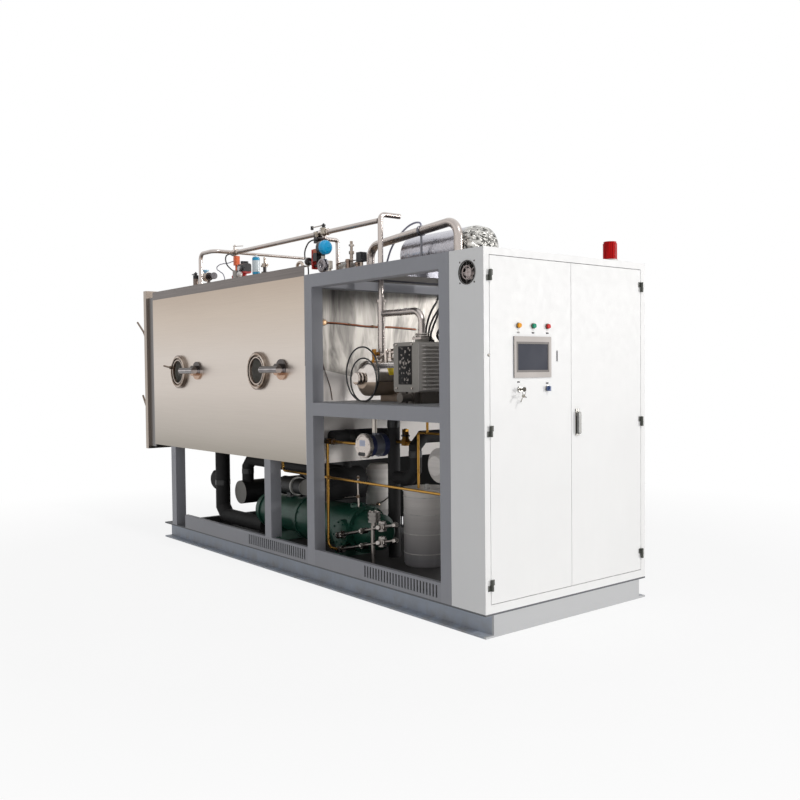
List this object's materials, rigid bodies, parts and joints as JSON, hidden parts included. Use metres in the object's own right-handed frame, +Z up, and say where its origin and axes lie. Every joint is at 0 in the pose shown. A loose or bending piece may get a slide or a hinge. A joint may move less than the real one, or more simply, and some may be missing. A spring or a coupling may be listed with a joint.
{
  "type": "freeze dryer",
  "caption": "Skid-mounted vacuum freeze dryer: a long insulated shelf chamber with sight glasses, an open machinery bay with pumps and refrigeration, and a control cabinet.",
  "frame": {"origin": "centre of the skid footprint, on the ground", "axes": "+X along the skid to the control cabinet doors, -X to the chamber door, -Y out of the side with the sight glasses, +Z up"},
  "size_m": [4.2348, 1.4238, 2.297],
  "materials": {
    "frame_paint": "satin grey paint",
    "skid_paint": "satin grey paint",
    "cabinet_paint": "fine-textured white powder coat",
    "brushed_steel": "brushed",
    "polished_steel": "polished",
    "dull_steel": "satin",
    "cast_grey": "painted casting",
    "green_paint": "semi-gloss green paint",
    "black_foam": "closed-cell foam",
    "black_plastic": "matt",
    "pale_foam": "soft white lagging",
    "foil": "foil wrap",
    "copper": "drawn tube, slightly dull",
    "blue_plastic": "gloss",
    "orange_plastic": "gloss",
    "white_plastic": "gloss",
    "red_lens": "translucent gloss",
    "lamp_lens": "translucent gloss",
    "sight_glass": "clear, dark behind",
    "seal_rubber": "silicone",
    "screen": "grey bezel and dark screen",
    "meter_paint": "blue enamel"
  },
  "bodies": {
    "machine": {"actuator_cap": "blue_plastic", "beacon_base": "black_plastic", "beacon_lens": "red_lens", "cabinet_hinges": "black_plastic", "cabinet_panels": "cabinet_paint", "chamber_cladding": "brushed_steel", "chamber_flange": "dull_steel", "chamber_vessel": "dull_steel", "circulation_pipes": "brushed_steel", "circulation_pump": "polished_steel", "compressor": "green_paint", "coolant_tanks": "pale_foam", "copper_lines": "copper", "deck_plates": "frame_paint", "door_hinge_brackets": "dull_steel", "expansion_tank": "foil", "fan_frame": "black_plastic", "feed_valve": "white_plastic", "filter_bowl": "white_plastic", "flow_meter": "meter_paint", "frame_beams": "frame_paint", "frame_posts": "frame_paint", "hand_valves": "dull_steel", "hoses": "black_plastic", "insulated_pipes": "black_foam", "isolation_valve": "dull_steel", "louvre_panels": "frame_paint", "pilot_valve": "black_plastic", "refrigerant_vessels": "black_foam", "relief_valves": "dull_steel", "roof_edge_rails": "dull_steel", "service_valves": "dull_steel", "shelf_stack": "brushed_steel", "sight_glass_panes": "sight_glass", "sight_glass_rings": "polished_steel", "sight_lamps": "polished_steel", "skid_beams": "skid_paint", "skid_cross_members": "skid_paint", "solenoid_coil": "orange_plastic", "tank_supports": "frame_paint", "vacuum_lines": "brushed_steel", "vacuum_pump": "cast_grey"},
    "chamber_door": {"chamber_door": "brushed_steel", "door_seal": "seal_rubber", "door_hinge_leaves": "dull_steel"},
    "upper_clamp": {"upper_clamp_lever": "dull_steel"},
    "lower_clamp": {"lower_clamp_lever": "dull_steel"},
    "wiper": {"wiper_lever": "polished_steel"},
    "left_door": {"left_cabinet_door": "cabinet_paint", "touch_panel": "screen", "indicator_lamps": "lamp_lens"},
    "right_door": {"right_cabinet_door": "cabinet_paint"},
    "handle": {"door_handle": "polished_steel"},
    "key": {"key_switch": "polished_steel"},
    "knob": {"selector_knob": "blue_plastic"},
    "fan": {"fan_rotor": "black_plastic"},
    "feed_lever": {"feed_valve_lever": "dull_steel"},
    "tee_lever": {"tee_valve_lever": "dull_steel"},
    "header_lever": {"header_valve_lever": "dull_steel"},
    "bay_lever": {"bay_valve_lever": "black_plastic"}
  },
  "joints": [
    {"name": "chamber_door_hinge", "type": "hinge", "parent": "machine", "child": "chamber_door", "pos_m": [-2.151, 0.684, 1.3275], "axis": [0, 0, -1], "range_deg": [0, 110]},
    {"name": "upper_clamp_turn", "type": "hinge", "parent": "chamber_door", "child": "upper_clamp", "pos_m": [-2.2043, -0.604, 1.6], "axis": [1, 0, 0], "range_deg": [0, 90]},
    {"name": "lower_clamp_turn", "type": "hinge", "parent": "chamber_door", "child": "lower_clamp", "pos_m": [-2.2043, -0.604, 1.025], "axis": [1, 0, 0], "range_deg": [0, 90]},
    {"name": "wiper_turn", "type": "hinge", "parent": "machine", "child": "wiper", "pos_m": [-1.624, -0.67, 1.364], "axis": [0, -1, 0], "range_deg": [-60, 60]},
    {"name": "left_door_hinge", "type": "hinge", "parent": "machine", "child": "left_door", "pos_m": [1.859, -0.6015, 1.02], "axis": [0, 0, -1], "range_deg": [0, 120]},
    {"name": "right_door_hinge", "type": "hinge", "parent": "machine", "child": "right_door", "pos_m": [1.859, 0.6015, 1.02], "axis": [0, 0, 1], "range_deg": [0, 120]},
    {"name": "handle_turn", "type": "hinge", "parent": "right_door", "child": "handle", "pos_m": [1.85, 0.046, 1.08], "axis": [1, 0, 0], "range_deg": [0, 90]},
    {"name": "key_turn", "type": "hinge", "parent": "left_door", "child": "key", "pos_m": [1.85, -0.394, 1.222], "axis": [1, 0, 0], "range_deg": [-90, 0]},
    {"name": "selector_turn", "type": "hinge", "parent": "left_door", "child": "knob", "pos_m": [1.85, -0.189, 1.222], "axis": [1, 0, 0], "range_deg": [-45, 45]},
    {"name": "fan_spin", "type": "hinge", "parent": "machine", "child": "fan", "pos_m": [1.734, -0.62, 1.803], "axis": [0, 1, 0], "continuous": true},
    {"name": "tee_lever_turn", "type": "hinge", "parent": "machine", "child": "tee_lever", "pos_m": [-1.17, -0.34, 2.28], "axis": [0, 0, 1], "range_deg": [0, 90]},
    {"name": "header_lever_turn", "type": "hinge", "parent": "machine", "child": "header_lever", "pos_m": [0.039, -0.34, 2.28], "axis": [0, 0, 1], "range_deg": [-90, 0]},
    {"name": "feed_lever_turn", "type": "hinge", "parent": "machine", "child": "feed_lever", "pos_m": [-1.471, -0.52, 2.09], "axis": [0, 0, 1], "range_deg": [0, 90]},
    {"name": "bay_lever_turn", "type": "hinge", "parent": "machine", "child": "bay_lever", "pos_m": [0.3, -0.195, 1.98], "axis": [0, 0, 1], "range_deg": [-90, 0]}
  ]
}
